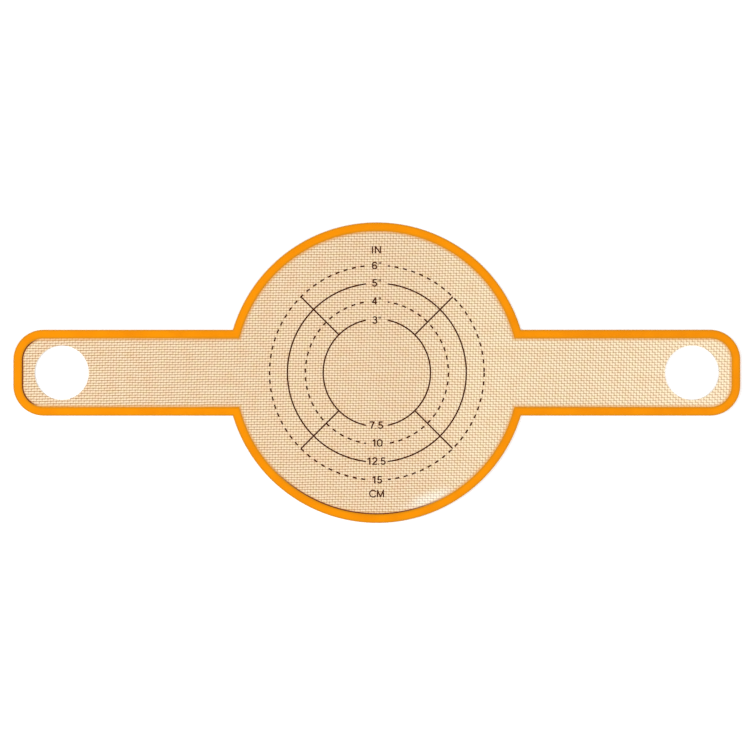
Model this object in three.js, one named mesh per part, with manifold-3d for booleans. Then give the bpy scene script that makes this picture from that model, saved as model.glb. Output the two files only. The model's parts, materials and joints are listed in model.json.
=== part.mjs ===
// Bread sling: a round silicone baking mat with a strap handle at each side, used to lower dough into a
// deep pot and to lift the loaf out again. Glass cloth is sealed between two silicone coats, a silicone
// border wraps the cut edge, and a measuring guide is printed on the top coat.
// Millimetres, +X along the straps, +Y to the back, +Z up. The origin is on the underside, below the
// middle of the round.

import * as THREE from "three";
import { mergeVertices } from "three/addons/utils/BufferGeometryUtils.js";
import Module from "manifold-3d";

// Outline of the mat
const roundDiameter = 210;
const overallLength = 508;
const strapWidth = 60;
const strapCornerRadius = 21;
const handHoleDiameter = 38;
const handHoleToEnd = 33.7;

// Layers, from the underside up
const bottomCoatThickness = 0.25;
const clothThickness = 0.25;
const topCoatThickness = 0.25;

// Border: a channel section that holds the edge of the cloth and of the top coat
const borderWidth = 6;
const borderRise = 0.25;
const edgeSealWidth = 1;
const edgeRounding = 0.25;
const edgeRoundingSteps = 2;

// Folds at the root of each strap, where the mat bends when the handles are lifted
const foldCount = 5;
const roundToFirstFold = 1;
const foldPitch = 10;
const foldSlit = 0.2;

// Printed guide: two full rings, and diagonal spokes from the small ring outwards
const smallRingDiameter = 75;
const largeRingDiameter = 125;
const spokeEndDiameter = 150;
const spokeAngle = Math.PI / 4;
const printLineWidth = 1;
const printThickness = 0.0625;
const labelGap = 15.2;

// Length of a facet on every curved edge
const facetLength = 4;

// Heights of the faces between the layers
const clothBottom = bottomCoatThickness;
const clothTop = clothBottom + clothThickness;
const surface = clothTop + topCoatThickness;
const borderTop = surface + borderRise;

// Cutting solids reach this far past the mat on every side
const cutReach = overallLength;

const wasm = await Module();
wasm.setup();

// A closed geometry as a solid that can be joined and cut.
function solidOf(geometry) {
  geometry.deleteAttribute("normal");
  geometry.deleteAttribute("uv");
  const merged = mergeVertices(geometry);
  return new wasm.Manifold(
    new wasm.Mesh({
      numProp: 3,
      vertProperties: merged.attributes.position.array,
      triVerts: Uint32Array.from(merged.index.array),
    }),
  );
}

function geometryOf(solid) {
  const { vertProperties, triVerts } = solid.getMesh();
  const geometry = new THREE.BufferGeometry();
  geometry.setAttribute("position", new THREE.BufferAttribute(vertProperties, 3));
  geometry.setIndex(new THREE.BufferAttribute(triVerts, 1));
  geometry.computeVertexNormals();
  return geometry;
}

function facetsOn(arcLength) {
  return Math.max(8, Math.ceil(arcLength / facetLength));
}

function arc(x, y, radius, from, to) {
  const curve = new THREE.EllipseCurve(x, y, radius, radius, from, to);
  return curve.getPoints(facetsOn(radius * (to - from)));
}

// The mat's outline drawn inside its cut edge: the round, with a strap end at each side.
function outline(inset) {
  const radius = roundDiameter / 2 - inset;
  const halfWidth = strapWidth / 2 - inset;
  const corner = Math.min(strapCornerRadius, strapWidth / 2) - inset;
  const cornerX = overallLength / 2 - inset - corner;
  const cornerY = halfWidth - corner;
  const mouth = Math.asin(halfWidth / radius);
  const quarter = Math.PI / 2;
  return new THREE.Shape([
    ...arc(cornerX, -cornerY, corner, -quarter, 0),
    ...arc(cornerX, cornerY, corner, 0, quarter),
    ...arc(0, 0, radius, mouth, Math.PI - mouth),
    ...arc(-cornerX, cornerY, corner, quarter, 2 * quarter),
    ...arc(-cornerX, -cornerY, corner, 2 * quarter, 3 * quarter),
    ...arc(0, 0, radius, Math.PI + mouth, 2 * Math.PI - mouth),
  ]);
}

function slab(shape, low, high) {
  const geometry = new THREE.ExtrudeGeometry(shape, { depth: high - low, bevelEnabled: false });
  return solidOf(geometry.translate(0, 0, low));
}

// A slab whose upper and lower edges are rounded over.
function roundedSlab(shape, low, high) {
  const rounding = Math.min(edgeRounding, (high - low) / 3);
  const geometry = new THREE.ExtrudeGeometry(shape, {
    depth: high - low - 2 * rounding,
    bevelThickness: rounding,
    bevelSize: rounding,
    bevelOffset: -rounding,
    bevelSegments: edgeRoundingSteps,
  });
  return solidOf(geometry.translate(0, 0, low + rounding));
}

function block(low, high) {
  const size = high.clone().sub(low);
  const middle = low.clone().add(high).divideScalar(2);
  return solidOf(new THREE.BoxGeometry(...size).translate(...middle));
}

function disc(x, diameter, low, high) {
  const radius = diameter / 2;
  const facets = facetsOn(Math.PI * diameter);
  const geometry = new THREE.CylinderGeometry(radius, radius, high - low, facets);
  return solidOf(geometry.rotateX(Math.PI / 2).translate(x, 0, (low + high) / 2));
}

// The three layers and the border at full length, before they are parted at the folds
function makeLayers() {
  const holeX = overallLength / 2 - handHoleToEnd;
  const holes = [-holeX, holeX].map((x) => disc(x, handHoleDiameter, -cutReach, cutReach));
  const layer = (inset, low, high) =>
    holes.reduce((solid, hole) => solid.subtract(hole), slab(outline(inset), low, high));
  return {
    bottom_coat: layer(borderWidth, 0, clothBottom),
    cloth: layer(edgeSealWidth, clothBottom, clothTop),
    top_coat: layer(edgeSealWidth, clothTop, surface),
  };
}

function makeBorder() {
  const window = slab(outline(borderWidth), -cutReach, cutReach);
  const channel = slab(outline(edgeSealWidth), clothBottom, surface);
  return roundedSlab(outline(0), 0, borderTop).subtract(window).subtract(channel);
}

// The right half of the guide's full lines. The rings stop short of the labels at front and back.
function makeGuideHalf() {
  const top = surface + printThickness;
  const ring = (diameter) =>
    disc(0, diameter + printLineWidth, surface, top).subtract(
      disc(0, diameter - printLineWidth, -cutReach, cutReach),
    );
  const spoke = (angle) => {
    const length = (spokeEndDiameter - smallRingDiameter) / 2;
    const geometry = new THREE.BoxGeometry(length, printLineWidth, printThickness);
    geometry.translate((spokeEndDiameter + smallRingDiameter) / 4, 0, surface + printThickness / 2);
    return solidOf(geometry.rotateZ(angle));
  };
  return ring(smallRingDiameter)
    .add(ring(largeRingDiameter))
    .add(spoke(spokeAngle))
    .add(spoke(-spokeAngle))
    .intersect(between(labelGap / 2, cutReach));
}

function between(fromX, toX, fromY = -cutReach, toY = cutReach) {
  return block(
    new THREE.Vector3(fromX, fromY, -cutReach),
    new THREE.Vector3(toX, toY, cutReach),
  );
}

const finishes = {
  coat: { color: 0xeacda6, roughness: 0.55, metalness: 0 },
  cloth: { color: 0xf2e8d8, roughness: 0.9, metalness: 0 },
  border: { color: 0xf8950a, roughness: 0.45, metalness: 0 },
  print: { color: 0x3c2819, roughness: 0.7, metalness: 0 },
};
const layerFinish = { bottom_coat: "coat", cloth: "cloth", top_coat: "coat" };

// A named piece in a group whose own origin lies at pivot.
function addPiece(group, name, solid, finish, pivot) {
  const geometry = geometryOf(solid).translate(-pivot.x, -pivot.y, -pivot.z);
  const mesh = new THREE.Mesh(geometry, new THREE.MeshStandardMaterial(finishes[finish]));
  mesh.name = name;
  group.add(mesh);
}

const layers = makeLayers();
const border = makeBorder();
const guideHalf = makeGuideHalf();

function addLayers(group, zone, fromX, toX, pivot) {
  for (const [layer, solid] of Object.entries(layers)) {
    addPiece(group, `${zone}_${layer}`, solid.intersect(between(fromX, toX)), layerFinish[layer], pivot);
  }
}

// The border runs along both long edges of a zone, apart from the handles, where it goes round the end.
function addBorderPair(group, zone, fromX, toX, pivot, [nameBelow, nameAbove]) {
  const below = border.intersect(between(fromX, toX, -cutReach, 0));
  const above = border.intersect(between(fromX, toX, 0, cutReach));
  addPiece(group, `${zone}_${nameBelow}_border`, below, "border", pivot);
  addPiece(group, `${zone}_${nameAbove}_border`, above, "border", pivot);
}

const folds = Array.from(
  { length: foldCount },
  (_, i) => roundDiameter / 2 + roundToFirstFold + i * foldPitch,
);

const sling = new THREE.Group();

function addRound() {
  const centre = new THREE.Vector3();
  const reach = folds[0] - foldSlit / 2;
  addLayers(sling, "round", -reach, reach, centre);
  addBorderPair(sling, "round", -reach, reach, centre, ["front", "back"]);
}

// One strap: each zone is a group that hangs on the one before it and turns about the fold between
// them. The left strap is the right one turned half round, so its front edge is the right one's back.
function addSide(side, turn, edgeNames) {
  const root = new THREE.Group();
  root.rotation.z = turn;
  sling.add(root);
  addPiece(root, `guide_lines_${side}`, guideHalf, "print", new THREE.Vector3());
  let parent = root;
  let parentPivot = new THREE.Vector3();
  folds.forEach((fold, i) => {
    const pivot = new THREE.Vector3(fold, 0, borderTop);
    const group = new THREE.Group();
    group.position.copy(pivot).sub(parentPivot);
    parent.add(group);
    const fromX = fold + foldSlit / 2;
    if (i < foldCount - 1) {
      const zone = `${side}_strap_${i + 1}`;
      const toX = folds[i + 1] - foldSlit / 2;
      addLayers(group, zone, fromX, toX, pivot);
      addBorderPair(group, zone, fromX, toX, pivot, edgeNames);
    } else {
      addLayers(group, `${side}_handle`, fromX, cutReach, pivot);
      const loop = border.intersect(between(fromX, cutReach));
      addPiece(group, `${side}_handle_border`, loop, "border", pivot);
    }
    parent = group;
    parentPivot = pivot;
  });
}

addRound();
addSide("right", 0, ["front", "back"]);
addSide("left", Math.PI, ["back", "front"]);

export default sling;
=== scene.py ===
# Bread sling: a laminated silicone mat with two strap handles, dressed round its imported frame.
# Metres throughout, +X along the straps, +Y to the back, +Z up out of the printed face.
import json
import math

import bmesh
import bpy
import numpy as np
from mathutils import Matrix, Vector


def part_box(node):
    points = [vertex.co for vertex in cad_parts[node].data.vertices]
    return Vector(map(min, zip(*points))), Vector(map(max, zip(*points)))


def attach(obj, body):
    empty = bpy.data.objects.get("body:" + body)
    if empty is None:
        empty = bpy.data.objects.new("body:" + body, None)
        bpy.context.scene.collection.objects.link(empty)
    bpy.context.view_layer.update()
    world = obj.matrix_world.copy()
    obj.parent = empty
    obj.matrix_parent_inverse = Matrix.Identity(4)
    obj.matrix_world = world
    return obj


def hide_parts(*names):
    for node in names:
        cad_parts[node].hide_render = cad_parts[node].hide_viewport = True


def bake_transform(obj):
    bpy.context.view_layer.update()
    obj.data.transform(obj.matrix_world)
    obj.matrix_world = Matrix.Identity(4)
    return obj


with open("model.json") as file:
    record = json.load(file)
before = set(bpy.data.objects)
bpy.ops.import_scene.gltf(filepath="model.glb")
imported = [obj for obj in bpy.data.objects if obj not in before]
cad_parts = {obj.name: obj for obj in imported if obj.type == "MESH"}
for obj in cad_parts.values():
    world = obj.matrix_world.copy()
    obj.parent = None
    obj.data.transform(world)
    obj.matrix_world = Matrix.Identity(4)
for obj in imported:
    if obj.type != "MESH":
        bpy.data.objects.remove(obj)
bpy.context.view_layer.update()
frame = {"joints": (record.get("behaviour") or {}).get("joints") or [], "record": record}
mm = 0.001


# Camera straight above, framed as in the photograph
camera = {
    "middle": (-1.29 * mm, -1.60 * mm),
    "seen": 524.55 * mm,  # width of the mat's plane that fills the picture
    "lens": 100,
    "sensor": 36,
    "clipEnd": 100,  # so that the whole floor is seen
}


def placeCamera():
    height = camera["seen"] * camera["lens"] / camera["sensor"]
    bpy.ops.object.camera_add(location=(*camera["middle"], height), rotation=(0, 0, 0))
    eye = bpy.context.object
    eye.name = "photoCamera"
    eye.data.lens = camera["lens"]
    eye.data.sensor_width = camera["sensor"]
    eye.data.clip_end = camera["clipEnd"]
    bpy.context.scene.camera = eye


placeCamera()


# Sizes of the sling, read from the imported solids
def highest(node, axis):
    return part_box(node)[1][axis]


holeBox = frame["record"]["physics"]["openings"][1]["box_m"]  # the right hand hole
sling = {
    "radius": highest("round_back_border", 1),
    "strapHalf": highest("right_handle_border", 1),
    "endX": highest("right_handle_border", 0),
    "window": highest("right_handle_border", 1) - highest("right_handle_bottom_coat", 1),
    "seal": highest("right_handle_border", 1) - highest("right_handle_cloth", 1),
    "corner": 21 * mm,
    "holeX": (holeBox[0][0] + holeBox[1][0]) / 2,
    "holeRadius": 19 * mm,
    "clothLow": highest("round_bottom_coat", 2),
    "clothHigh": highest("round_cloth", 2),
    "surface": highest("round_top_coat", 2),
    "top": highest("round_back_border", 2),
    "inkTop": highest("guide_lines_right", 2),
    "arcSteps": 128,
    "cornerSteps": 16,
    "holeSteps": 96,
    "punchDepth": 10 * mm,
    "gridStep": 6 * mm,  # loops that let the flat layers follow the lie of the mat
    "creaseHalf": 3 * mm,  # how far to each side of its axis a fold turns
    "creaseStep": 0.5 * mm,  # loops across it
    "loopClear": 1 * mm,  # how far the other loops keep from the folding stretch
}
folds = sorted(j["pos_m"][0] for j in frame["joints"] if j["pos_m"][0] > 0)
bendHalf = (folds[1] - folds[0]) / 2
firstBend = folds[0] - bendHalf  # the folding stretch of a strap starts here
lastBend = folds[-1] + bendHalf  # and ends here
print("folds at", [round(x / mm, 1) for x in folds], "mm on each side")


# How the mat lies: not quite flat, with the strap ends a little lifted
lie = {
    "sway": 0.12 * mm,
    "swayLength": (190 * mm, 150 * mm),
    "swayTurn": (0.6, -0.4),  # where its waves begin, in radians
    "rimLift": 0.3 * mm,
    "rimFrom": 70 * mm,
    "rimLobes": 3,
    "rimTurn": 1.9,
    "rimClear": 40 * mm,  # how far past the straps' edges the rim takes to lift
    "endLift": (0.3 * mm, 0.25 * mm),  # left, right
    "endFrom": 185 * mm,
}


def lieHeight(x, y):
    across, deep = lie["swayLength"]
    turnX, turnY = lie["swayTurn"]
    sway = np.sin(2 * np.pi * x / across + turnX) * np.cos(2 * np.pi * y / deep + turnY)
    rimShare = np.clip((np.hypot(x, y) - lie["rimFrom"]) / (sling["radius"] - lie["rimFrom"]), 0, 1)
    lobe = 0.5 + 0.5 * np.cos(lie["rimLobes"] * np.arctan2(y, x) + lie["rimTurn"])
    offStrap = np.clip((np.abs(y) - sling["strapHalf"]) / lie["rimClear"], 0, 1)
    rim = lie["rimLift"] * rimShare ** 2 * lobe * offStrap
    endShare = np.clip((np.abs(x) - lie["endFrom"]) / (sling["endX"] - lie["endFrom"]), 0, 1)
    end = np.where(x < 0, *lie["endLift"]) * endShare ** 2
    return lie["sway"] * (1 + sway) + rim + end


# Modelling by hand: what is selected, picked and cut
hand = {
    "weld": 1e-6,  # points nearer than this become one
    "fineWeld": 1e-7,  # and those of a closed shell
    "faceUp": 0.9,  # a face looks up if its normal's z is more than this
    "smooth": math.radians(40),  # edges that turn less than this are shaded smooth
}


def takeOnly(obj):
    bpy.ops.object.select_all(action="DESELECT")
    obj.select_set(True)
    bpy.context.view_layer.objects.active = obj


def openMesh(obj):
    takeOnly(obj)
    bpy.ops.object.mode_set(mode="EDIT")


def closeMesh():
    bpy.ops.object.mode_set(mode="OBJECT")


def selectAll():
    bpy.ops.mesh.select_all(action="SELECT")


def pickVerts(obj, test):
    bpy.ops.mesh.select_mode(type="VERT")
    bpy.ops.mesh.select_all(action="DESELECT")
    shape = bmesh.from_edit_mesh(obj.data)
    for vert in shape.verts:
        vert.select_set(test(vert.co))
    bmesh.update_edit_mesh(obj.data)


def pickFaces(obj, test):
    bpy.ops.mesh.select_mode(type="FACE")
    bpy.ops.mesh.select_all(action="DESELECT")
    shape = bmesh.from_edit_mesh(obj.data)
    shape.normal_update()
    for face in shape.faces:
        face.select_set(test(face.calc_center_median(), face.normal))
    bmesh.update_edit_mesh(obj.data)


def startPoint(name, place):  # one vertex to draw from, left in edit mode
    bpy.ops.object.select_all(action="DESELECT")
    bpy.ops.mesh.primitive_plane_add(size=mm, calc_uvs=False, location=(0, 0, 0))
    obj = bpy.context.object
    obj.name = name
    bpy.ops.object.mode_set(mode="EDIT")
    bpy.ops.mesh.select_mode(type="VERT")
    selectAll()
    bpy.ops.mesh.merge(type="CENTER")
    bpy.ops.transform.translate(value=place)
    return obj


def pull(x, y, z):
    bpy.ops.mesh.extrude_region_move(TRANSFORM_OT_translate={"value": (x, y, z)})


def turnAbout(steps, angle, z, copies=False):  # anticlockwise seen from above
    bpy.ops.mesh.spin(steps=steps, angle=-angle, center=(0, 0, z), axis=(0, 0, 1), dupli=copies)


def weld(nearer):
    selectAll()
    bpy.ops.mesh.remove_doubles(threshold=nearer)
    selectAll()


def tidyShell():
    weld(hand["fineWeld"])
    bpy.ops.mesh.normals_make_consistent(inside=False)


def cleanUp(obj):
    openMesh(obj)
    tidyShell()
    closeMesh()


def cutAcross(x=None, y=None, keep=None):  # keep: 1 the far side, -1 the near side, None both
    selectAll()
    bpy.ops.mesh.bisect(
        plane_co=(x or 0, y or 0, 0),
        plane_no=(1, 0, 0) if y is None else (0, 1, 0),
        use_fill=keep is not None,
        clear_inner=keep == 1,
        clear_outer=keep == -1,
        threshold=hand["fineWeld"],
    )


def applyModifier(obj, kind, **settings):
    takeOnly(obj)
    added = obj.modifiers.new(kind.lower(), kind)
    for key, value in settings.items():
        setattr(added, key, value)
    bpy.ops.object.modifier_apply(modifier=added.name)


def cutAway(obj, tool):
    applyModifier(obj, "BOOLEAN", operation="DIFFERENCE", solver="EXACT", object=tool)
    bpy.data.objects.remove(tool, do_unlink=True)


def copyOf(obj, name):
    twin = obj.copy()
    twin.data = obj.data.copy()
    twin.name = name
    bpy.context.collection.objects.link(twin)
    return twin


# The sling's outline: two arcs of the round joined by the strap ends, drawn inset from the cut edge
def drawOutline(name, inset, z):
    radius = sling["radius"] - inset
    half = sling["strapHalf"] - inset
    end = sling["endX"] - inset
    mouth = math.asin(half / radius)
    mouthX = radius * math.cos(mouth)
    obj = startPoint(name, (mouthX, half, z))
    for way in (1, -1):  # round by the back to the left strap, then by the front to the right one
        turnAbout(sling["arcSteps"], math.pi - 2 * mouth, z)
        pull(way * (mouthX - end), 0, 0)
        pull(0, -way * 2 * half, 0)
        pull(way * (end - mouthX), 0, 0)
    weld(hand["weld"])
    bpy.ops.mesh.edge_face_add()
    pickVerts(obj, lambda place: abs(place.x) > end - hand["weld"])
    bpy.ops.mesh.bevel(
        offset=sling["corner"] - inset, offset_type="OFFSET", segments=sling["cornerSteps"],
        affect="VERTICES",
    )
    return obj


def thicken(height):
    selectAll()
    pull(0, 0, height)
    tidyShell()


def makePlate(name, inset, low, high):
    plate = drawOutline(name, inset, low)
    thicken(high - low)
    closeMesh()
    return plate


def punchHoles(plate):
    for side in (-1, 1):
        bpy.ops.object.select_all(action="DESELECT")
        bpy.ops.mesh.primitive_cylinder_add(
            vertices=sling["holeSteps"], radius=sling["holeRadius"], depth=sling["punchDepth"],
            location=(side * sling["holeX"], 0, 0), calc_uvs=False,
        )
        cutAway(plate, bpy.context.object)


# The border: a moulded channel round the whole edge, slightly domed, with soft edges
border = {
    "crown": 0.05 * mm,  # how much higher its middle is
    "shoulder": 1.6 * mm,  # and how wide the slopes beside it are
    "edgeRound": 0.2 * mm,
    "edgeSteps": 3,
    "sharp": math.radians(50),  # edges that turn more than this are rounded
}


def makeBorder():
    band = drawOutline("border", 0, 0)
    selectAll()
    bpy.ops.mesh.inset(thickness=sling["window"], use_even_offset=True)
    bpy.ops.mesh.delete(type="FACE")  # the window, which the inset leaves selected
    selectAll()
    pull(0, 0, sling["top"] - border["crown"])
    tidyShell()
    pickFaces(band, lambda place, normal: normal.z > hand["faceUp"])
    bpy.ops.mesh.inset(thickness=border["shoulder"], use_even_offset=True)
    bpy.ops.transform.translate(value=(0, 0, border["crown"]))
    closeMesh()
    applyModifier(
        band, "BEVEL", width=border["edgeRound"], segments=border["edgeSteps"],
        limit_method="ANGLE", angle_limit=border["sharp"],
    )
    cutAway(band, makePlate("channel", sling["seal"], sling["clothLow"], sling["surface"]))
    cleanUp(band)  # the groove's upper edge meets the end of the rounding
    return band


layers = {
    "BottomCoat": makePlate("bottomCoat", sling["window"], 0, sling["clothLow"]),
    "Cloth": makePlate("cloth", sling["seal"], sling["clothLow"], sling["clothHigh"]),
    "TopCoat": makePlate("topCoat", sling["seal"], sling["clothHigh"], sling["surface"]),
}
for layer in layers.values():
    punchHoles(layer)
layers["Border"] = makeBorder()
print("layers drawn:", {name: len(obj.data.polygons) for name, obj in layers.items()})


# Loops across the layers, so that they can lie unevenly, set close across each fold
def mirrored(places):
    return sorted({way * place for place in places for way in (-1, 1)})


def loopPlaces():
    coarse = np.arange(0, sling["endX"], sling["gridStep"])
    steps = round(sling["creaseHalf"] / sling["creaseStep"])
    fine = [fold + step * sling["creaseStep"] for fold in folds for step in range(-steps, steps + 1)]
    before = firstBend - sling["loopClear"]
    past = lastBend + sling["loopClear"]
    along = [x for x in coarse if x < before or x > past] + fine
    nearest = sling["gridStep"] / 2  # so that no loop runs on the straps' edges
    deep = np.arange(nearest, sling["radius"], sling["gridStep"])
    return mirrored(along), mirrored(deep)


def addLoops(obj):
    along, deep = loopPlaces()
    openMesh(obj)
    for x in along:
        cutAcross(x=x)
    for y in deep:
        cutAcross(y=y)
    closeMesh()


for layer in layers.values():
    addLoops(layer)
print("loops cut:", {name: len(obj.data.polygons) for name, obj in layers.items()})


# Zones that the layers are parted into: the round, a bend at each fold, and the two handles
def zoneList():
    zones = [{"name": "round", "low": -firstBend, "high": firstBend, "bodies": ["round"], "nodes": "round"}]
    for side, way in (("left", -1), ("right", 1)):
        straps = [side + "_strap_" + str(step + 1) for step in range(len(folds) - 1)]
        chain = ["round", *straps, side + "_handle"]
        for step, fold in enumerate(folds):
            reach = sorted((way * (fold - bendHalf), way * (fold + bendHalf)))
            zones.append({
                "name": side + "Bend" + str(step + 1),
                "low": reach[0],
                "high": reach[1],
                "bodies": chain[step:step + 2],
                "start": (way * (fold - sling["creaseHalf"]), 0, 0),
                "end": (way * (fold + sling["creaseHalf"]), 0, 0),
                "nodes": straps[step] if step < len(straps) else None,
            })
        reach = sorted((way * lastBend, way * sling["endX"]))
        zones.append({
            "name": side + "Handle", "low": reach[0], "high": reach[1],
            "bodies": [side + "_handle"], "nodes": side + "_handle",
        })
    return zones


def partOf(layer, name, zone):
    piece = copyOf(layer, name)
    openMesh(piece)
    if zone["low"] > -sling["endX"]:
        cutAcross(x=zone["low"], keep=1)
    if zone["high"] < sling["endX"]:
        cutAcross(x=zone["high"], keep=-1)
    closeMesh()
    return piece


def halfOf(piece, name, keep):
    half = copyOf(piece, name)
    openMesh(half)
    pickVerts(half, lambda place: place.y * keep < 0)
    bpy.ops.mesh.delete(type="VERT")
    closeMesh()
    return half


def layDown(piece):  # flat place kept as a map, then the lie of the mat
    count = len(piece.data.vertices)
    place = np.zeros(count * 3)
    piece.data.vertices.foreach_get("co", place)
    place = place.reshape(-1, 3)
    corner = np.zeros(len(piece.data.loops), dtype=np.int64)
    piece.data.loops.foreach_get("vertex_index", corner)
    flat = piece.data.uv_layers.new(name="flatPlace")
    flat.data.foreach_set("uv", place[corner, :2].ravel().astype(np.float32))
    place[:, 2] += lieHeight(place[:, 0], place[:, 1])
    piece.data.vertices.foreach_set("co", place.ravel())
    piece.data.update()


def dress(piece, material):
    piece.data.materials.clear()
    piece.data.materials.append(material)
    takeOnly(piece)
    bpy.ops.object.shade_smooth_by_angle(angle=hand["smooth"])


def hang(piece, zone):  # on its body; a piece between two bodies is left unparented, in place
    if len(zone["bodies"]) == 1:
        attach(piece, zone["bodies"][0])
    else:
        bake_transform(piece)


# Shader maths: a socket that takes part in Python expressions
class Wire:
    def __init__(self, tree, socket=None):
        self.tree = tree
        self.socket = socket

    def node(self, kind, settings=None, sockets=None, out=0):
        made = self.tree.nodes.new(kind)
        for key, value in (settings or {}).items():
            setattr(made, key, value)
        for key, value in (sockets or {}).items():
            if isinstance(value, Wire):
                self.tree.links.new(value.socket, made.inputs[key])
            else:
                made.inputs[key].default_value = value
        return Wire(self.tree, made.outputs[out] if made.outputs else None)

    def math(self, operation, *values):
        return self.node("ShaderNodeMath", {"operation": operation}, dict(enumerate(values)))

    def __add__(self, other):
        return self.math("ADD", self, other)

    def __radd__(self, other):
        return self.math("ADD", other, self)

    def __sub__(self, other):
        return self.math("SUBTRACT", self, other)

    def __rsub__(self, other):
        return self.math("SUBTRACT", other, self)

    def __mul__(self, other):
        return self.math("MULTIPLY", self, other)

    def __rmul__(self, other):
        return self.math("MULTIPLY", other, self)

    def __truediv__(self, other):
        return self.math("DIVIDE", self, other)

    def __rtruediv__(self, other):
        return self.math("DIVIDE", other, self)

    def __abs__(self):
        return self.math("ABSOLUTE", self)


def smoothBetween(value, low, high):  # 0 at low, 1 at high
    return value.node(
        "ShaderNodeMapRange", {"interpolation_type": "SMOOTHSTEP", "clamp": True},
        {"Value": value, "From Min": low, "From Max": high},
    )


def mixValue(share, first, second):
    return share * (second - first) + first


def withAlpha(colour):
    return colour if isinstance(colour, Wire) else (*colour, 1)


def mixColour(share, first, second, mode="MIX"):
    return share.node(
        "ShaderNodeMix", {"data_type": "RGBA", "blend_type": mode, "clamp_factor": True},
        {0: share, 6: withAlpha(first), 7: withAlpha(second)}, out=2,  # its colour sockets
    )


def noise(place, scale, detail=2):
    return place.node("ShaderNodeTexNoise", {}, {"Vector": place, "Scale": scale, "Detail": detail})


def scaled(place, by):
    return place.node("ShaderNodeVectorMath", {"operation": "MULTIPLY"}, {0: place, 1: by})


def axesOf(place):  # x and y
    return [place.node("ShaderNodeSeparateXYZ", {}, {0: place}, out=axis) for axis in (0, 1)]


def flatPlace(start):  # flat place on the mat, in mm
    return scaled(start.node("ShaderNodeUVMap", {"uv_map": "flatPlace"}), (1 / mm, 1 / mm, 0))


def startMaterial(name):
    material = bpy.data.materials.new(name)
    material.use_nodes = True
    material.node_tree.nodes.clear()
    return material, Wire(material.node_tree)


def endMaterial(start, look, colour, grain, height):  # the grain varies the roughness
    normal = start.node("ShaderNodeBump", {}, {**look["bump"], "Height": height})
    roughness = mixValue(grain, *look["roughness"])
    surface = start.node("ShaderNodeBsdfPrincipled", {}, {
        **look["gloss"], "Base Color": colour, "Roughness": roughness, "Normal": normal,
    })
    start.node("ShaderNodeOutputMaterial", {}, {"Surface": surface})


# Plain weave of glass yarn, as it shows through the coats
weave = {
    "warp": (0.5104, -0.0200),  # yarns per mm along x and y, for the yarns that run front to back
    "weft": (-0.00572, 0.5662),  # and for those that run along the straps
    "wander": 0.5,  # of a yarn
    "wanderScale": (0.035, 0.0455),  # warp, weft
    "gapStart": 0.233,  # where the gap between yarns begins, from the middle of one
    "changing": {  # at the left and right end of the sling
        "weftSide": (0.96, 0.79),  # how dark the gaps are, beside the yarns and at their ends
        "weftEnd": (0.133, 0.345),
        "warpSide": (0.745, 0.92),
        "warpEnd": (1.0, 0.805),
        "skewRising": (0.037, 0.418),  # painted shade: lighter and darker diagonals where side light falls on the yarns' slopes
        "skewFalling": (0.295, 0.0),
        "risingTurn": (math.radians(66), math.radians(108)),  # how far past the crowns they lie
        "fallingTurn": (math.radians(127), math.radians(175)),
    },
    "changesOver": (-170, 190),  # mm along x
    "gain": 1.2,  # flattens the crowns of the yarns
    "yarnVary": 0.12,
    "yarnSeed": (0.31, 77.7),  # warp, weft
    "fibre": 0.12,
    "fibreScale": (0.8, 9.0),  # along a yarn and across it
    "endDip": 0.6,  # how far a yarn sinks at its ends, of its height
}


def weavePattern(place):
    x, y = axesOf(place)
    drift = [(noise(place, scale) - 0.5) * weave["wander"] for scale in weave["wanderScale"]]
    warp = x * weave["warp"][0] + y * weave["warp"][1] + drift[0]
    weft = x * weave["weft"][0] + y * weave["weft"][1] + drift[1]
    warpCell = warp.math("FLOOR", warp)
    weftCell = weft.math("FLOOR", weft)
    warpOff = abs(warp - warpCell - 0.5)
    weftOff = abs(weft - weftCell - 0.5)
    onTop = warp.math("FLOORED_MODULO", warpCell + weftCell, 2.0)  # 1 where the warp is on top
    along = smoothBetween(x, *weave["changesOver"])
    vary = {name: mixValue(along, *ends) for name, ends in weave["changing"].items()}
    sideGap = smoothBetween(mixValue(onTop, weftOff, warpOff), weave["gapStart"], 0.5)
    endGap = smoothBetween(mixValue(onTop, warpOff, weftOff), weave["gapStart"], 0.5)
    sideDark = mixValue(onTop, vary["weftSide"], vary["warpSide"])
    endDark = mixValue(onTop, vary["weftEnd"], vary["warpEnd"])
    light = (1 - sideGap * sideDark) * (1 - endGap * endDark)
    # painted shade of side light on the yarns' slopes, laid in as two sets of diagonals
    rising = warp.math("COSINE", (warp + weft - 1) * math.pi + vary["risingTurn"])
    falling = warp.math("COSINE", (warp - weft) * math.pi + vary["fallingTurn"])
    light = light * (1 + rising * vary["skewRising"] + falling * vary["skewFalling"])
    # thread by thread, and fibre by fibre
    tones = [
        warp.node("ShaderNodeTexWhiteNoise", {"noise_dimensions": "1D"}, {"W": cell + seed})
        for cell, seed in zip((warpCell, weftCell), weave["yarnSeed"])
    ]
    tone = mixValue(onTop, tones[1], tones[0])
    lengthwise, crosswise = weave["fibreScale"]
    weftFibre = noise(scaled(place, (lengthwise, crosswise, 1)), 1.0, 1)
    warpFibre = noise(scaled(place, (crosswise, lengthwise, 1)), 1.0, 1)
    fibre = mixValue(onTop, weftFibre, warpFibre)
    detail = 1 + (tone - 0.5) * weave["yarnVary"] + (fibre - 0.5) * weave["fibre"]
    height = (1 - sideGap) * (1 - endGap * weave["endDip"])
    return {"x": x, "y": y, "light": light * detail * weave["gain"], "height": height, "fibre": fibre}


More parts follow.
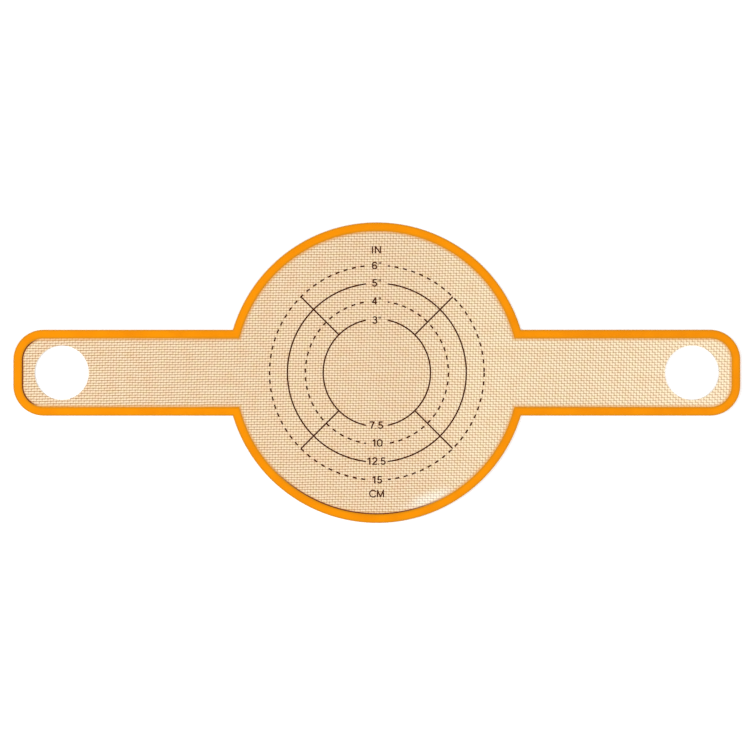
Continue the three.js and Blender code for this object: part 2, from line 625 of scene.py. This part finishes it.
# Tan silicone coat over the cloth
coat = {
    "gap": (0.34, 0.123, 0.006),
    "yarn": (1.0, 0.810, 0.568),
    "pink": (1.0, 0.93, 0.90),  # soft tints, in patches
    "pinkScale": 0.11,
    "pinkShare": (0.35, 0.75),
    "yellow": (0.98, 1.0, 0.91),
    "yellowScale": 0.17,
    "yellowStretch": (1, 1.6, 1),
    "yellowShare": (0.4, 0.8),
    "thin": (  # paler towards the right: right of the middle, then towards the right end
        ((0.057, 0.075, 0.053), (5, 85)),
        ((0.075, 0.072, 0.056), (120, 262)),
    ),
    "bleed": (0.76, 0.31, 0.02),  # orange that has crept under the border into the coat
    "bleedShare": 0.7,
    "bleedWide": (-0.2, 2.5),  # mm inside the border's inner edge
    "pale": (0.10, 0.18, 0.235),  # painted highlight: a paler patch by the border, standing in for gloss
    "paleAt": (36, -89),
    "paleTurn": math.radians(22),
    "paleReach": (26, 8),
    "paleFade": (1.0, 0.1),  # of its reach
    "seam": (0.14, 0.016, 0.0003),  # painted shadow of the border's raised edge, dark along its inner edge at the left end
    "seamWide": (0.65, 1.1),
    "seamFrom": (-235, -243),
    "rimSeamWide": (0.6, 1.0),  # and along the front of the round
    "rimSeamTurn": math.radians(261),
    "rimSeamFrom": (70, 96),
    "fineScale": 6.0,
    "fineHeight": 0.08,  # of a yarn's height
    "roughness": (0.42, 0.55),
    "gloss": {"Coat Weight": 0.06, "Coat Roughness": 0.3, "Specular IOR Level": 0.25},
    "bump": {"Strength": 0.5, "Distance": 0.06 * mm},
}


def borderDepth(x, y):  # mm inside the border's inner edge
    reach = (sling["radius"] - sling["window"]) / mm
    corner = (sling["corner"] - sling["window"]) / mm
    end = (sling["endX"] - sling["window"]) / mm - corner
    half = (sling["strapHalf"] - sling["window"]) / mm - corner
    fromMiddle = x.math("SQRT", x * x + y * y)
    pastEnd = x.math("MAXIMUM", abs(x) - end, 0.0)
    pastSide = x.math("MAXIMUM", abs(y) - half, 0.0)
    fromStrap = x.math("SQRT", pastEnd * pastEnd + pastSide * pastSide)
    return x.math("MAXIMUM", reach - fromMiddle, corner - fromStrap)


def paintedHighlightPatch(x, y):  # mask of the painted highlight: 1 in the middle of the patch, 0 outside it
    across = x - coat["paleAt"][0]
    deep = y - coat["paleAt"][1]
    cos, sin = math.cos(coat["paleTurn"]), math.sin(coat["paleTurn"])
    along = (across * cos + deep * sin) / coat["paleReach"][0]
    beside = (deep * cos - across * sin) / coat["paleReach"][1]
    return smoothBetween(x.math("SQRT", along * along + beside * beside), *coat["paleFade"])


def makeCoat():
    material, start = startMaterial("tanSilicone")
    place = flatPlace(start)
    cloth = weavePattern(place)
    x, y = cloth["x"], cloth["y"]
    colour = mixColour(cloth["light"], coat["gap"], coat["yarn"])
    patch = noise(place, coat["pinkScale"])
    colour = mixColour(smoothBetween(patch, *coat["pinkShare"]), colour, coat["pink"], "MULTIPLY")
    blotch = noise(scaled(place, coat["yellowStretch"]), coat["yellowScale"], 1)
    colour = mixColour(smoothBetween(blotch, *coat["yellowShare"]), colour, coat["yellow"], "MULTIPLY")
    for paler, reach in coat["thin"]:
        colour = mixColour(smoothBetween(x, *reach), colour, paler, "ADD")
    depth = borderDepth(x, y)
    bleed = (1 - smoothBetween(depth, *coat["bleedWide"])) * coat["bleedShare"]
    colour = mixColour(bleed, colour, coat["bleed"])
    # painted highlight: a paler gloss patch added to the colour
    colour = mixColour(paintedHighlightPatch(x, y), colour, coat["pale"], "ADD")
    # painted shadow of the border's raised edge, along its inner edge at the front of the round
    forward = x * math.cos(coat["rimSeamTurn"]) + y * math.sin(coat["rimSeamTurn"])
    atFront = smoothBetween(forward, *coat["rimSeamFrom"])
    rimShadow = atFront * (1 - smoothBetween(depth, *coat["rimSeamWide"]))
    colour = mixColour(rimShadow, colour, coat["seam"])
    # and the same painted shadow at the left end
    atEnd = smoothBetween(x, *coat["seamFrom"])
    endShadow = atEnd * (1 - smoothBetween(depth, *coat["seamWide"]))
    colour = mixColour(endShadow, colour, coat["seam"])
    fine = noise(place, coat["fineScale"])
    endMaterial(start, coat, colour, fine, cloth["height"] + fine * coat["fineHeight"])
    return material


# Orange silicone of the border
edging = {
    "colour": (0.99, 0.314, 0.0015),
    "deep": (0.88, 0.256, 0.0015),
    "deepShare": (0.36, 0.70),
    "cloudScale": 0.06,
    "grainScale": 3.5,
    "edge": (0.70, 0.262, 0.007),  # painted shade where the band's edges round off, at both edges
    "innerEdge": (-1.9, 0.1),
    "outerEdge": (-4.2, -5.9),
    "roughness": (0.42, 0.56),
    "gloss": {"Specular IOR Level": 0.03},
    "bump": {"Strength": 0.25, "Distance": 0.04 * mm},
}


def makeEdging():
    material, start = startMaterial("orangeSilicone")
    place = flatPlace(start)
    cloudy = noise(place, edging["cloudScale"], 3)
    grain = noise(place, edging["grainScale"], 3)
    deepness = smoothBetween((cloudy + grain) / 2, *edging["deepShare"])
    colour = mixColour(deepness, edging["colour"], edging["deep"])
    depth = borderDepth(*axesOf(place))
    # painted shade along both rounded edges of the band
    edgeShaded = smoothBetween(depth, *edging["innerEdge"]) + smoothBetween(depth, *edging["outerEdge"])
    colour = mixColour(edgeShaded, colour, edging["edge"])
    endMaterial(start, edging, colour, grain, grain)
    return material


# Bare glass cloth, seen only at the hand holes' cut edges
yarn = {
    "gap": (0.60, 0.50, 0.37),
    "thread": (0.92, 0.86, 0.76),
    "roughness": (0.75, 0.9),
    "gloss": {"Specular IOR Level": 0.5},
    "bump": {"Strength": 0.6, "Distance": 0.08 * mm},
}


def makeYarn():
    material, start = startMaterial("glassCloth")
    cloth = weavePattern(flatPlace(start))
    colour = mixColour(cloth["light"], yarn["gap"], yarn["thread"])
    endMaterial(start, yarn, colour, cloth["fibre"], cloth["height"])
    return material


# Printed guide ink, which follows the weave and is thinner on its crowns
ink = {
    "dark": (0.046, 0.0065, 0.0002),
    "worn": (0.072, 0.014, 0.0005),
    "speckScale": 5.0,
    "wear": 0.6,  # by the crowns and by the specks alike
    "wearShare": (0.55, 1.0),
    "roughness": (0.55, 0.7),
    "gloss": {"Specular IOR Level": 0.03},
    "bump": {"Strength": 0.4, "Distance": 0.05 * mm},
}


def makeInk():
    material, start = startMaterial("guideInk")
    place = flatPlace(start)
    cloth = weavePattern(place)
    speck = noise(place, ink["speckScale"])
    worn = smoothBetween((cloth["light"] + speck) * ink["wear"], *ink["wearShare"])
    colour = mixColour(worn, ink["dark"], ink["worn"])
    endMaterial(start, ink, colour, speck, cloth["height"])
    return material


coatMaterial = makeCoat()
edgingMaterial = makeEdging()
yarnMaterial = makeYarn()
inkMaterial = makeInk()
print("materials made")

finishes = {
    "Cloth": (yarnMaterial, "glass_cloth", "cloth"),
    "BottomCoat": (coatMaterial, "tan_silicone", "bottom_coat"),
    "TopCoat": (coatMaterial, "tan_silicone", "top_coat"),
    "FrontBorder": (edgingMaterial, "orange_silicone", "front_border"),
    "BackBorder": (edgingMaterial, "orange_silicone", "back_border"),
    "Border": (edgingMaterial, "orange_silicone", "border"),
}


def flatSize(piece):
    spans = ([vert.co[axis] for vert in piece.data.vertices] for axis in (0, 1))
    return tuple(round(max(span) - min(span), 5) for span in spans)


def makeZone(zone):
    made = {}
    for name, layer in layers.items():
        piece = partOf(layer, zone["name"] + name, zone)
        if name == "Border" and not zone["name"].endswith("Handle"):
            made["FrontBorder"] = halfOf(piece, zone["name"] + "FrontBorder", -1)
            made["BackBorder"] = halfOf(piece, zone["name"] + "BackBorder", 1)
            bpy.data.objects.remove(piece, do_unlink=True)
        else:
            made[name] = piece
    cloth = made["Cloth"]
    flat = flatSize(cloth)
    for name, piece in made.items():
        material, slot, node = finishes[name]
        layDown(piece)
        dress(piece, material)
        hang(piece, zone)
        if zone["nodes"]:
            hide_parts(zone["nodes"] + "_" + node)
    others = [piece for name, piece in made.items() if name != "Cloth"]


for zone in zoneList():
    makeZone(zone)
for layer in layers.values():
    bpy.data.objects.remove(layer, do_unlink=True)
print("mat parted into zones")


# The printed guide
guide = {
    "line": 1.0 * mm,
    "dashLine": 1.06 * mm,
    "sunk": 0.02 * mm,  # into the coat
    "fullRings": (37.5 * mm, 62.5 * mm),
    "dashRings": ((50 * mm, 52), (75 * mm, 78.58)),  # radius, dashes in a turn
    "dashShare": 0.48,  # of the way from one dash to the next
    "ringSteps": 240,
    "dashSteps": 3,
    "spoke": (37.5 * mm, 75 * mm),
    "spokeSteps": 12,
    "spokeTurns": ((135, 225), (45, 315)),  # left, right
    "labelGap": 7.6 * mm,  # left free on each side of the middle, for the numbers
}
inkLow = sling["surface"] - guide["sunk"]
inkHeight = sling["inkTop"] - inkLow


def startStroke(name, radius, width):  # an edge as wide as the line, lying outwards at 3 o'clock
    stroke = startPoint(name, (radius - width / 2, 0, inkLow))
    pull(width, 0, 0)
    selectAll()
    return stroke


def drawRing(name, radius):
    ring = startStroke(name, radius, guide["line"])
    turnAbout(guide["ringSteps"], 2 * math.pi, inkLow)
    thicken(inkHeight)
    closeMesh()
    return ring


def drawDashes(name, radius, count):
    pitch = 2 * math.pi / count
    dashes = startStroke(name, radius, guide["dashLine"])
    turnAbout(guide["dashSteps"], -pitch * guide["dashShare"], inkLow)
    selectAll()
    more = math.ceil(count) - 1
    turnAbout(more, -pitch * more, inkLow, copies=True)
    weld(hand["weld"])
    thicken(inkHeight)
    closeMesh()
    return dashes


def drawSpoke(name, angle):
    inner, outer = guide["spoke"]
    spoke = startPoint(name, (inner, -guide["line"] / 2, inkLow))
    pull(0, guide["line"], 0)
    selectAll()
    for step in range(guide["spokeSteps"]):
        pull((outer - inner) / guide["spokeSteps"], 0, 0)
    selectAll()
    bpy.ops.transform.rotate(value=-angle, orient_axis="Z", center_override=(0, 0, inkLow))
    thicken(inkHeight)
    closeMesh()
    return spoke


def joined(objs, name):
    bpy.ops.object.select_all(action="DESELECT")
    for obj in objs:
        obj.select_set(True)
    bpy.context.view_layer.objects.active = objs[0]
    bpy.ops.object.join()
    objs[0].name = name
    return objs[0]


def fused(objs, name):  # one skin where strokes cross
    for other in objs[1:]:
        applyModifier(objs[0], "BOOLEAN", operation="UNION", solver="EXACT", object=other)
        bpy.data.objects.remove(other, do_unlink=True)
    cleanUp(objs[0])
    objs[0].name = name
    return objs[0]


def sideOf(obj, name, way):  # what lies beyond the gap left for the numbers
    part = copyOf(obj, name)
    openMesh(part)
    cutAcross(x=way * guide["labelGap"], keep=way)
    closeMesh()
    return part


def finishInk(piece, nodes=()):
    layDown(piece)
    dress(piece, inkMaterial)
    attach(piece, "round")
    if nodes:
        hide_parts(*nodes)


def makeGuideLines():
    rings = [drawRing("ring" + str(i), radius) for i, radius in enumerate(guide["fullRings"])]
    dashes = [drawDashes("dashes" + str(i), *facts) for i, facts in enumerate(guide["dashRings"])]
    for side, way, turns in zip(("Left", "Right"), (-1, 1), guide["spokeTurns"]):
        spokes = [drawSpoke("spoke" + str(turn), math.radians(turn)) for turn in turns]
        halves = [sideOf(ring, "half", way) for ring in rings]
        finishInk(fused(halves + spokes, "guideLines" + side), ["guide_lines_" + side.lower()])
        halves = [sideOf(row, "half", way) for row in dashes]
        finishInk(joined(halves, "guideDashes" + side))
    for spare in rings + dashes:
        bpy.data.objects.remove(spare, do_unlink=True)


# Numbers of the guide, inches at the back and centimetres at the front. Each sign is drawn with a flat pen:
# a start, a heading in degrees, then straight runs (length) and bends (radius, turn), all in sign heights.
pen = {
    "height": 5.08 * mm,
    "stroke": 0.85 * mm,
    "tick": 0.6 * mm,
    "bendStep": 12,  # degrees
    "numberWide": 1.12,
    "numberAdvance": 0.75,
}
signs = {
    "0": [((0.133, 0.32), 90, [0.36, (0.267, -180), 0.36, (0.267, -180)])],
    "1": [((0.46, 0), 90, [1.0]), ((0.19, 0.735), 28, [(0.55, 34)])],
    "2": [((0.144, 0.744), 80, [(0.255, -213.4), 0.612]), ((0.105, 0.063), 0, [0.58])],
    "3": [((0.20, 0.813), 70, [(0.2, -250), 0.07]), ((0.32, 0.545), 0, [0.07, (0.245, -255)])],
    "4": [((0.53, 0), 90, [1.0]), ((0.09, 0.285), 0, [0.63]), ((0.135, 0.30), 58, [0.77])],
    "5": [((0.205, 0.937), 0, [0.44]), ((0.24, 0.97), 262.4, [0.5]),
          ((0.1835, 0.4757), 50, [(0.25, -300)])],
    "6": [((0.145, 0.31), 90, [(0.25, -360)]), ((0.656, 0.765), 110, [(0.262, 160), 0.36])],
    "7": [((0.08, 0.937), 0, [0.61]), ((0.635, 0.92), 236, [(1.99, 28)])],
    ".": [((0.13, 0.063), 0, [0.13])],
    "I": [((0.194, 0), 90, [1.0])],
    "N": [((0.18, 0), 90, [1.0]), ((0.87, 0), 90, [1.0]), ((0.192, 0.955), -54.3, [1.123])],
    "C": [((0.913, 0.755), 123, [(0.465, 294)])],
    "M": [((0.167, 0), 90, [1.0]), ((0.996, 0), 90, [1.0]), ((0.18, 0.965), -66.5, [1.0]),
          ((0.983, 0.965), 246.5, [1.0])],
}
advance = {".": 0.42, "I": 0.414, "N": 1.008, "C": 0.96, "M": 1.163}  # of the signs that aren't numbers
labels = {  # words, then y and x of the middle of the row
    "Inches": (("IN", 85.95 * mm, -0.3 * mm), ("6", 74.9 * mm, -1.5 * mm), ("5", 62.85 * mm, -1.5 * mm),
               ("4", 50.2 * mm, -1.65 * mm), ("3", 36.8 * mm, -1.4 * mm)),
    "Centimetres": (("7.5", -36.65 * mm, -0.3 * mm), ("10", -49.1 * mm, 0.4 * mm),
                    ("12.5", -61.8 * mm, -0.28 * mm), ("15", -74.8 * mm, 0.25 * mm),
                    ("CM", -84.55 * mm, -0.2 * mm)),
    "inchMarks": ((1.6 * mm, 2.6 * mm), 1.0 * mm, 1.45 * mm),  # x of both ticks, foot above the row, length
}


def drawStroke(name, start, heading, moves, width):
    x, y = start
    turn = math.radians(heading)
    left = (-math.sin(turn), math.cos(turn))
    stroke = startPoint(name, (x - left[0] * width / 2, y - left[1] * width / 2, inkLow))
    pull(left[0] * width, left[1] * width, 0)
    selectAll()
    for move in moves:
        if not isinstance(move, tuple):
            x += move * math.cos(turn)
            y += move * math.sin(turn)
            pull(move * math.cos(turn), move * math.sin(turn), 0)
            continue
        radius, bend = move
        bendTurn = math.radians(bend)
        reach = math.copysign(radius, bend)
        centre = (x - reach * math.sin(turn), y + reach * math.cos(turn))
        steps = max(2, round(abs(bend) / pen["bendStep"]))
        bpy.ops.mesh.spin(steps=steps, angle=-bendTurn, center=(*centre, inkLow), axis=(0, 0, 1))
        turn += bendTurn
        x = centre[0] + reach * math.sin(turn)
        y = centre[1] - reach * math.cos(turn)
    weld(hand["weld"])
    thicken(inkHeight)
    closeMesh()
    return stroke


def drawSign(sign):
    tall = pen["height"]
    strokes = []
    for start, heading, moves in signs[sign]:
        sized = [
            (move[0] * tall, move[1]) if isinstance(move, tuple) else move * tall
            for move in moves
        ]
        place = (start[0] * tall, start[1] * tall)
        strokes.append(drawStroke("stroke", place, heading, sized, pen["stroke"]))
    drawn = fused(strokes, "sign")
    if sign.isdigit():
        openMesh(drawn)
        selectAll()
        bpy.ops.transform.resize(value=(pen["numberWide"], 1, 1), center_override=(0, 0, 0))
        closeMesh()
    return drawn


def shift(obj, x, y):
    openMesh(obj)
    selectAll()
    bpy.ops.transform.translate(value=(x, y, 0))
    closeMesh()


def writeRow(words, y, middle, drawn):
    tall = pen["height"]
    placed = []
    x = 0
    for sign in words:
        placed.append(copyOf(drawn[sign], "placed"))
        shift(placed[-1], x, y - tall / 2)
        x += advance.get(sign, pen["numberAdvance"]) * tall
    wide = [v.co.x for obj in placed for v in obj.data.vertices]
    row = joined(placed, "row")
    shift(row, middle - (max(wide) + min(wide)) / 2, 0)
    return row


def makeLabels():
    drawn = {sign: drawSign(sign) for sign in signs}
    for unit in ("Inches", "Centimetres"):
        rows = [writeRow(*row, drawn) for row in labels[unit]]
        if unit == "Inches":
            ticks, foot, length = labels["inchMarks"]
            rows += [drawStroke("tick", (x, row[1] + foot), 90, [length], pen["tick"])
                     for row in labels[unit][1:] for x in ticks]
        finishInk(joined(rows, "guide" + unit))
    for sign in drawn.values():
        bpy.data.objects.remove(sign, do_unlink=True)


makeGuideLines()
makeLabels()
print("guide printed")


# Floor, world and soft studio lamps
studio = {
    "floor": (0.86, 0.86, 0.86),
    "floorSize": 40,
    "floorLow": 0.05 * mm,  # below the mat
    "floorLift": (0.3, 0.8),  # by the mat, where its shadow falls, and far away
    "floorFade": (0.45, 1.8),
    "world": 0.25,
    "key": {"place": (-1.7, 0.3, 1.3), "size": 0.8, "power": 30},
    "fill": {"place": (1.3, -0.7, 1.9), "size": 1.6, "power": 34},
}


def makeFloor():
    bpy.ops.object.select_all(action="DESELECT")
    bpy.ops.mesh.primitive_plane_add(
        size=studio["floorSize"], location=(0, 0, -studio["floorLow"]), calc_uvs=False,
    )
    floor = bpy.context.object
    floor.name = "studioFloor"
    material, start = startMaterial("paleFloor")
    # it glows only for rays that see it directly, so the glow doesn't light the mat
    rays = ("Is Camera Ray", "Is Glossy Ray", "Is Transmission Ray")
    seen = [start.node("ShaderNodeLightPath", out=name) for name in rays]
    direct = start.math("MAXIMUM", start.math("MAXIMUM", seen[0], seen[1]), seen[2])
    place = start.node("ShaderNodeTexCoord", out="Object")
    away = start.node("ShaderNodeVectorMath", {"operation": "LENGTH"}, {0: place}, out="Value")
    glow = direct * mixValue(smoothBetween(away, *studio["floorFade"]), *studio["floorLift"])
    matt = start.node("ShaderNodeBsdfDiffuse", {}, {"Color": withAlpha(studio["floor"])})
    lift = start.node("ShaderNodeEmission", {}, {"Color": glow, "Strength": 1.0})
    both = start.node("ShaderNodeAddShader", {}, {0: matt, 1: lift})
    start.node("ShaderNodeOutputMaterial", {}, {"Surface": both})
    floor.data.materials.append(material)


def makeLamp(name, place, size, power):
    bpy.ops.object.light_add(type="AREA", location=place)
    lamp = bpy.context.object
    lamp.name = name
    lamp.data.shape = "SQUARE"
    lamp.data.size = size
    lamp.data.energy = power
    lamp.rotation_euler = lamp.location.to_track_quat("Z", "Y").to_euler()  # towards the mat


def makeStudio():
    makeFloor()
    makeLamp("keyLamp", **studio["key"])
    makeLamp("fillLamp", **studio["fill"])
    world = bpy.data.worlds.new("studioWorld")
    bpy.context.scene.world = world
    world.use_nodes = True
    back = world.node_tree.nodes["Background"]
    back.inputs["Color"].default_value = (1, 1, 1, 1)
    back.inputs["Strength"].default_value = studio["world"]
    bpy.context.scene.view_settings.view_transform = "Standard"


makeStudio()
print("studio lit")
